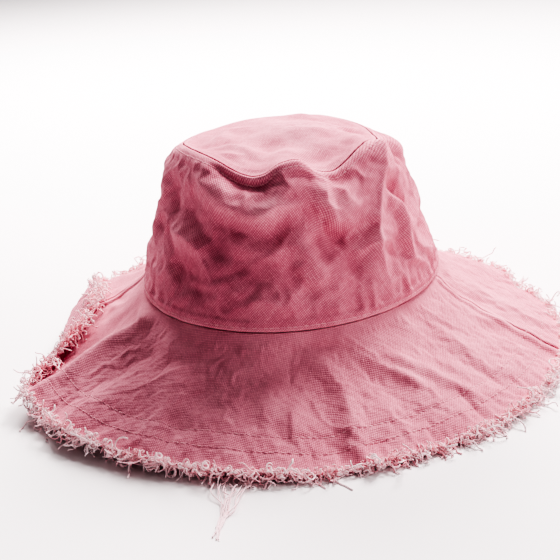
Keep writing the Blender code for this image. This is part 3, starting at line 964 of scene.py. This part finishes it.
def shell(name, outer, inner, flat, wear_and_shade, look, slot, ring=False, capped=False):
    """A closed cloth panel between two grids of points; its outer side faces the first grid's front."""
    n, m = outer.shape[:2]
    index = np.arange(n * m).reshape(n, m)
    a = index if ring else index[:-1]
    b = np.roll(index, -1, 0) if ring else index[1:]
    deep = n * m
    front = quads(a, b)
    faces = [front, front[:, ::-1] + deep]
    lower = np.stack([b[:, 0], a[:, 0], a[:, 0] + deep, b[:, 0] + deep], -1)
    upper = np.stack([a[:, -1], b[:, -1], b[:, -1] + deep, a[:, -1] + deep], -1)
    faces += [lower] if capped else [lower, upper]
    if not ring:
        s, e = index[0], index[-1]
        faces.append(np.stack([s[:-1], s[1:], s[1:] + deep, s[:-1] + deep], -1))
        faces.append(np.stack([e[1:], e[:-1], e[:-1] + deep, e[1:] + deep], -1))
    points = np.concatenate([outer.reshape(-1, 3), inner.reshape(-1, 3)])
    uv = np.tile(flat.reshape(-1, 2), (2, 1))
    worn_and_shaded = np.tile(wear_and_shade.reshape(-1), 2)
    all_faces = [tuple(f) for f in np.concatenate(faces).tolist()]
    if capped:
        centre = len(points)
        points = np.concatenate([points, [outer[:, -1].mean(0)], [inner[:, -1].mean(0)]])
        uv = np.concatenate([uv, [flat[:, -1].mean(0)] * 2])
        worn_and_shaded = np.concatenate([worn_and_shaded, [wear_and_shade[:, -1].mean()] * 2])
        last = list(zip(a[:, -1].tolist(), b[:, -1].tolist()))
        all_faces += [(p, q, centre) for p, q in last]
        all_faces += [(q + deep, p + deep, centre + 1) for p, q in last]
    mesh = bpy.data.meshes.new(name)
    mesh.from_pydata(points.tolist(), [], all_faces)
    corner = np.empty(len(mesh.loops), dtype=np.int32)
    mesh.loops.foreach_get("vertex_index", corner)
    layer = mesh.uv_layers.new(name="flat")
    layer.data.foreach_set("uv", uv[corner].astype(np.float32).ravel())
    return link(name, mesh, look, "wear_and_shade", worn_and_shaded)


def tubes(name, lines, radius, tone, look, sides):
    """Many yarns in one piece: lines is (yarns, places, 3), radius (yarns, places), tone (yarns)."""
    count, rings = lines.shape[:2]
    ahead = unit(np.gradient(lines, axis=1))
    aside = unit(np.cross(ahead, (0.31, 0.22, 0.93)))
    other = np.cross(ahead, aside)
    spin = np.arange(sides) * 2 * math.pi / sides
    ring = aside[:, :, None] * np.cos(spin)[:, None] + other[:, :, None] * np.sin(spin)[:, None]
    points = lines[:, :, None] + ring * radius[:, :, None, None]
    index = np.arange(count * rings * sides).reshape(count, rings, sides)
    faces = [tuple(f) for f in quads(index, np.roll(index, -1, 2)).tolist()]
    faces += [tuple(f[::-1]) for f in index[:, 0].tolist()]
    faces += [tuple(f) for f in index[:, -1].tolist()]
    mesh = bpy.data.meshes.new(name)
    mesh.from_pydata(points.reshape(-1, 3).tolist(), [], faces)
    tone = np.broadcast_to(tone if tone.ndim == 2 else tone[:, None], (count, rings))
    return link(name, mesh, look, "tone", np.repeat(tone, sides))


def stitches(name, points, up, look, seed, closed=True):
    """A row of lockstitches: short threads that dive into the cloth between one and the next."""
    rng = np.random.default_rng(seed)
    if closed:
        points, up = np.concatenate([points, points[:1]]), np.concatenate([up, up[:1]])
    run = run_along(points)
    count = int(run[-1] / STITCH_PITCH)
    starts = np.arange(count) * (run[-1] / count) + rng.normal(0, 0.08 * MM, count)
    share = np.linspace(0, 1, 9)
    at = starts[:, None] + share * STITCH_LENGTH + STITCH_PITCH * 0.1
    line, lean = read_along(at, run, points), read_along(at, run, up)
    bow = 0.16 * MM * np.sin(math.pi * share) - 0.12 * MM
    side = unit(np.cross(line[:, -1] - line[:, 0], lean[:, 4]))
    skew = rng.normal(0.10, 0.06, count)[:, None] * MM * (share - 0.5) * 2
    line = line + lean * bow[:, None] + side[:, None] * skew[..., None]
    radius = 0.27 * MM * np.clip(np.sin(math.pi * (share * 0.9 + 0.05)), 0, 1) ** 0.35
    radius = np.tile(radius, (count, 1))
    return tubes(name, line, radius, rng.random(count), look, 7)


# ---------------------------------------------------------------- the frayed edge and the loose yarn
# The pulled yarn's route over the table in millimetres, as in the CAD model.
LOOSE_YARN = (
    (9.0, -180.4), (10.8, -188.0), (15.0, -196.5), (16.6, -205.5), (15.0, -214.0),
    (17.0, -221.5), (18.0, -226.0),
)
# Wisps that come out of the fringe beside it: their start (x, y) in millimetres, and the shares of
# the pulled yarn at which they join it and end.
WISPS = (
    (2.5, -177.5, 0.62, 0.86), (4.4, -178.6, 0.55, 0.92), (6.0, -178.0, 0.66, 0.80),
    (8.2, -178.4, 0.50, 0.97), (10.4, -178.0, 0.60, 0.88), (12.4, -178.8, 0.72, 1.00),
    (14.0, -177.6, 0.58, 0.90), (16.2, -178.4, 0.68, 0.95), (18.6, -177.4, 0.56, 0.84),
    (20.4, -176.8, 0.62, 0.78),
)


def loose_yarn(look):
    """The pulled yarn that lies on the table in front of the brim, with wisps joining it."""
    rng = np.random.default_rng(61)
    route = [(x * MM, y * MM, YARN_RADIUS) for x, y in LOOSE_YARN]
    main = smooth_line(route, 160)
    run = run_along(main)
    main = read_along(np.linspace(0, run[-1], int(run[-1] / (0.5 * MM))), run, main)
    radius = np.full((1, len(main)), YARN_RADIUS)
    yarn = tubes("pulled_yarn", main[None], radius, np.array([0.75]), look, 8)
    lines = []
    for x, y, joins, ends in WISPS:
        meet = main[int(joins * (len(main) - 1))]
        last = main[int(ends * (len(main) - 1))]
        start = np.array([x * MM, y * MM, 1.6 * MM])
        ends_at = last + rng.normal(0, 1.2, 3) * (MM, MM, 0)
        route = [start]
        for share in (0.25, 0.5, 0.75):
            sway = rng.normal(0, 1.5, 3) * (MM, MM, 0.5 * MM)
            route.append(start * (1 - share) + meet * share + sway + (0, 0, 0.6 * MM))
        route += [meet + rng.normal(0, 0.6, 3) * (MM, MM, 0) + (0, 0, 0.4 * MM), ends_at]
        line = smooth_line(route, 46)
        line[:, 2] = np.maximum(line[:, 2], 0.32 * MM)
        lines.append(line)
    lines = np.array(lines)
    radius = rng.uniform(0.20, 0.34, len(lines))[:, None] * MM * np.ones(lines.shape[1])
    tone = rng.uniform(0.55, 1.0, len(lines))
    wisps = tubes("pulled_wisps", lines, radius, tone, look, 6)
    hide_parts("loose_yarn")


def grow(start, heading, length, steps, curl, sag, rng):
    """Yarns that grow out of the cloth: they curl each in its own way, droop, and lie on the table."""
    count = len(start)
    step = (length / steps)[:, None]
    axis = unit(rng.normal(0, 1, (count, 3)))
    drift = rng.normal(0, 0.10, (count, 3))
    line = [start]
    for i in range(steps):
        share = i / steps
        bend = np.cross(axis, heading) * curl[:, None] * step * (0.35 + share)
        heading = unit(heading + bend + drift * 0.5 + (0, 0, -1) * (sag * step))
        axis = axis + rng.normal(0, 0.16, (count, 3))
        place = line[-1] + heading * step
        under = place[:, 2] < YARN_REST
        place[under, 2] = YARN_REST
        heading[under, 2] = np.maximum(heading[under, 2], 0.05)
        line.append(place)
    return np.stack(line, 1)


class Edge:
    """The cut edge of one half of the brim, to start yarns from."""

    def __init__(self, top):
        self.point, self.out = top[:, -1], unit(top[:, -1] - top[:, -4])
        self.side = unit(np.gradient(self.point, axis=0))
        self.up = np.cross(self.out, self.side)
        self.run = run_along(self.point)

    def at(self, place):
        return [read_along(place, self.run, v) for v in (self.point, self.out, self.side, self.up)]


def fringe(side, edge, look, seed):
    """The frayed border: crosswise yarns pulled out, the others left as curls, loops and fuzz."""
    rng = np.random.default_rng(seed)
    end = edge.run[-1]
    clump = np.convolve(rng.normal(0, 1, 400), np.ones(7) / 7, "same")

    def spread(count):
        place = (np.arange(count) + rng.uniform(-0.45, 0.45, count)) * end / count
        return np.clip(place, 0.2 * MM, end - 0.2 * MM)

    def bunch(place, shift=0.0):
        return np.interp(place + shift, np.linspace(0, end, 400), clump)

    def starts(place, depth, inside):
        point, out, along, up = edge.at(place)
        return point - out * inside[:, None] - up * depth[:, None], out, along, up

    def between(low, high):
        """A share for each yarn, to weigh a direction with."""
        return rng.uniform(low, high, (count, 1))

    # Both plies' yarns, side by side all the way round.
    count = 1250
    place = spread(count)
    depth = np.where(np.arange(count) % 2 == 0, 0.35, 1.45) * MM
    start, out, along, up = starts(place, depth, rng.uniform(0.8, 1.8, count) * MM)
    lean = bunch(place)[:, None] * 1.1 + rng.normal(0, 0.35, (count, 1))
    heading = unit(out + along * lean + up * between(-0.35, 0.75))
    length = rng.uniform(8, 13, count) * MM * (1 + 0.25 * bunch(place, 0.03))
    curl = rng.choice([300, 700, 1050], count, p=[0.20, 0.40, 0.40]) * rng.uniform(0.7, 1.3, count)
    line = grow(start, heading, length, 17, curl, 38.0, rng)
    radius = rng.uniform(0.32, 0.48, count)[:, None] * MM * np.linspace(1, 0.8, 18)
    tone = 0.36 + 0.35 * bunch(place, 0.01) + rng.normal(0, 0.20, count)
    tone = np.clip(tone[:, None] + np.linspace(-0.2, 0.25, 18), 0, 1)
    border = tubes(f"fringe_{side}", line, radius, tone, look, 4)

    # Longer yarns, pulled half out, that loop along the edge.
    count = 100
    place = spread(count)
    start, out, along, up = starts(place, rng.uniform(-0.2, 0.8, count) * MM, 0.4 * MM * np.ones(count))
    way = rng.choice([-1, 1], count)[:, None]
    heading = unit(out * between(0.5, 1.2) + along * way + up * between(-0.3, 0.15))
    length = rng.uniform(11, 22, count) * MM
    line = grow(start, heading, length, 30, rng.uniform(260, 620, count), 50.0, rng)
    radius = rng.uniform(0.34, 0.46, count)[:, None] * MM * np.ones(31)
    tone = rng.uniform(0.65, 1.0, count)
    loops = tubes(f"fringe_loops_{side}", line, radius, tone, look, 7)

    # Fine fuzz from the yarns' broken fibres, and short ends that stand up at the cut.
    count = 1500
    place = spread(count)
    depth, inside = rng.uniform(-0.1, 1.6, count) * MM, rng.uniform(0, 2.4, count) * MM
    start, out, along, up = starts(place, depth, inside)
    heading = out * between(0.1, 1.0) + along * rng.normal(0, 0.8, (count, 1))
    heading = unit(heading + up * between(-0.1, 0.9))
    length = rng.uniform(1.6, 4.6, count) * MM
    line = grow(start, heading, length, 8, rng.uniform(200, 900, count), 30.0, rng)
    radius = rng.uniform(0.10, 0.20, count)[:, None] * MM * np.linspace(1, 0.6, 9)
    tone = rng.uniform(0.35, 1.0, count)
    fuzz = tubes(f"fringe_fuzz_{side}", line, radius, tone, look, 4)
    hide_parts(f"frayed_edge_{side}")
    return [border, loops, fuzz]


# ---------------------------------------------------------------- the panels
BACK = math.pi / 2


def rows(length, near, far, step):
    """Shares along a panel: finer rows beside its two seams, given in millimetres from each."""
    total = length / MM
    middle = np.arange(near[-1] + step, total - far[-1] - step / 2, step)
    return np.concatenate([near, middle, total - np.array(far[::-1])]) / total


# Rows of points beside the crown's seams, the head seam and the brim's cut edge, in millimetres.
SEAM_ROWS = (0, 0.35, 0.7, 1.1, 1.6, 2.1, 2.6, 3.3, 4.2, 4.9, 5.6, 6.4)
HEAD_ROWS = (0, 0.5, 1.1, 1.9, 2.9)
EDGE_ROWS = (0, 0.9, 1.8, 2.7)


def offset_pair(outer, n, depth, thickness):
    """The two faces of a layer that lies depth below a surface."""
    return outer - n * depth, outer - n * (depth + thickness)


def crown(canvas_crown, canvas_tip, thread):
    """The crown band and the tip, with their three rows of stitches."""
    angle = np.linspace(BACK + SEAM_ANGLE, BACK + 2 * math.pi - SEAM_ANGLE, 560)
    up = rows(BAND_SLANT, SEAM_ROWS, SEAM_ROWS, 1.16)
    band, wear_and_shade = band_surface(angle, up)
    n = normals(band, False)
    wall = shell("crown_wall", band, band - n * CANVAS, band_pattern(angle, up), wear_and_shade,
                 canvas_crown, "pink_canvas")
    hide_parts("crown_band")
    around = np.linspace(0, 2 * math.pi, 420, endpoint=False)
    across = np.concatenate([1 - np.array(SEAM_ROWS) / TIP_RADIUS_MM, np.linspace(0.87, 0.03, 40)])
    top, top_wear_and_shade = tip_surface(around, across)
    top_n = normals(top, True)
    flat = top[..., :2] - (TIP_SHIFT, 0)
    tip = shell("crown_top", top, top - top_n * CANVAS, flat, top_wear_and_shade, canvas_tip, "pink_canvas",
                ring=True, capped=True)
    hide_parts("crown_tip")

    row_pieces = []
    for name, distance, node in (
        ("base_stitches", BASE_STITCH, "base_topstitch"),
        ("tip_stitches", BAND_SLANT - TIP_STITCH, "tip_topstitch"),
    ):
        i = np.argmin(np.abs(up * BAND_SLANT - distance))
        lifted = band[:, i] + n[:, i] * STITCH_LIFT
        row = stitches(name, lifted, n[:, i], thread, 71 + len(row_pieces), closed=False)
        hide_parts(node)
        row_pieces.append(row)
    near = int(np.argmin(np.abs(angle - BACK - 1.5 * DEG)))
    rise = slice(int(np.argmin(np.abs(up - 0.06))), int(np.argmin(np.abs(up - 0.93))))
    lifted = band[near, rise] + n[near, rise] * STITCH_LIFT
    row = stitches("back_seam_stitches", lifted, n[near, rise], thread, 75, closed=False)
    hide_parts("back_seam_topstitch")
    row_pieces.append(row)


def brim(canvas_brim, thread, yarn):
    """The brim's four panels, its frayed border and its two rows of stitches."""
    out = rows(BRIM_SLANT, HEAD_ROWS, EDGE_ROWS, 1.08)
    stitch_lines = {OUTER_STITCH: [], INNER_STITCH: []}
    for side, first, seed in (("front", math.pi, 81), ("back", 0.0, 91)):
        angle = np.linspace(first + SEAM_ANGLE, first + math.pi - SEAM_ANGLE, 520)
        top, wear_and_shade = brim_surface(angle, out)
        up = -normals(top, False)
        pattern = brim_pattern(angle, out)

        def cloth(name, depth):
            # Turned edge first, so that its outer side faces up.
            grids = *offset_pair(top, up, depth, BRIM_PLY), pattern, wear_and_shade
            return shell(name, *(grid[:, ::-1] for grid in grids), canvas_brim, "pink_canvas")

        upper = cloth(f"brim_upper_{side}", 0)
        lower = cloth(f"brim_lower_{side}", BRIM_PLY + GAP)
        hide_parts(f"brim_top_{side}")
        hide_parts(f"brim_under_{side}")
        yarns = fringe(side, Edge(top), yarn, seed)
        for distance, lines in stitch_lines.items():
            i = np.argmin(np.abs((1 - out) * BRIM_SLANT - distance))
            lines.append((top[:, i] + up[:, i] * STITCH_LIFT, up[:, i]))
    for name, distance, node in (
        ("brim_outer_stitches", OUTER_STITCH, "brim_stitch_outer"),
        ("brim_inner_stitches", INNER_STITCH, "brim_stitch_inner"),
    ):
        points, lean = (np.concatenate(part) for part in zip(*stitch_lines[distance]))
        row = stitches(name, points, lean, thread, int(distance / MM))
        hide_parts(node)


def inner_bands(twill, tape, label, thread):
    """What is sewn inside the crown: the sweatband, the two seam tapes and a blank care label."""
    around = np.linspace(0, 2 * math.pi, 360, endpoint=False)

    def strip(name, angle, distance, depth, thickness, look, slot, node, ring=False):
        up = np.asarray(distance) * MM / BAND_SLANT
        outer, wear_and_shade = band_surface(angle, up)
        n = normals(outer, ring)
        flat = np.stack(np.meshgrid(angle * TAPE_ARC, np.asarray(distance) * MM, indexing="ij"), -1)
        piece = shell(name, *offset_pair(outer, n, depth, thickness), flat, wear_and_shade, look, slot, ring=ring)
        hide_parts(node)
        return piece, outer, n

    first = CANVAS + 0.9 * MM
    tall = np.linspace(1.0, SWEATBAND_TALL / MM, 44)
    band, outer, n = strip("sweatband_twill", around, tall, first, TWILL, twill, "band_twill",
                           "sweatband", ring=True)
    row = 3
    inside = outer[:, row] - n[:, row] * (first + TWILL + 0.1 * MM)
    sewn = stitches("sweatband_stitches", inside, -n[:, row], thread, 77)
    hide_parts("sweatband_stitch")
    high = BAND_SLANT / MM
    tall = np.linspace(high - TIP_TAPE_TALL / MM, high - 1.4, 12)
    binding, _, _ = strip("tip_binding", around, tall, first, TAPE, tape, "seam_tape",
                          "tip_seam_tape", ring=True)
    beside = np.linspace(BACK - 3.6 * DEG, BACK + 3.6 * DEG, 14)
    strap, _, _ = strip("back_binding", beside, np.linspace(33, high - 11, 44), first, TAPE, tape,
                        "seam_tape", "back_seam_tape")
    beside = np.linspace(96 * DEG, 106 * DEG, 20)
    tag, _, _ = strip("blank_label", beside, np.linspace(5, 26, 30), first + TWILL + 0.4 * MM, LABEL,
                      label, "label_cloth", "care_label")


def main():
    make_camera()
    yarn = yarn_look("frayed yarn", (0.98, 0.43, 0.51), (1.0, 0.80, 0.83))
    loose_yarn(yarn)
    make_stage()
    thread = yarn_look("sewing thread", (0.70, 0.22, 0.31), (0.84, 0.38, 0.46))
    canvas_crown = canvas_look("crown canvas", 4 * DEG, CROWN_PINKS)
    canvas_tip = canvas_look("tip canvas", 8 * DEG, CROWN_PINKS)
    canvas_brim = canvas_look("brim canvas", 0.0, BRIM_PINKS)
    twill = ribbed_look("sweatband twill", (0.62, 0.15, 0.24), (0.84, 0.36, 0.45), 0.9 * MM,
                        58 * DEG, 0.12 * MM)
    tape = ribbed_look("seam tape", (0.64, 0.17, 0.26), (0.84, 0.38, 0.46), 0.7 * MM, 0.0, 0.08 * MM)
    label = ribbed_look("label cloth", (0.78, 0.74, 0.71), (0.92, 0.90, 0.87), 0.35 * MM, 90 * DEG,
                        0.03 * MM)
    settle()
    crown(canvas_crown, canvas_tip, thread)
    brim(canvas_brim, thread, yarn)
    inner_bands(twill, tape, label, thread)


main()
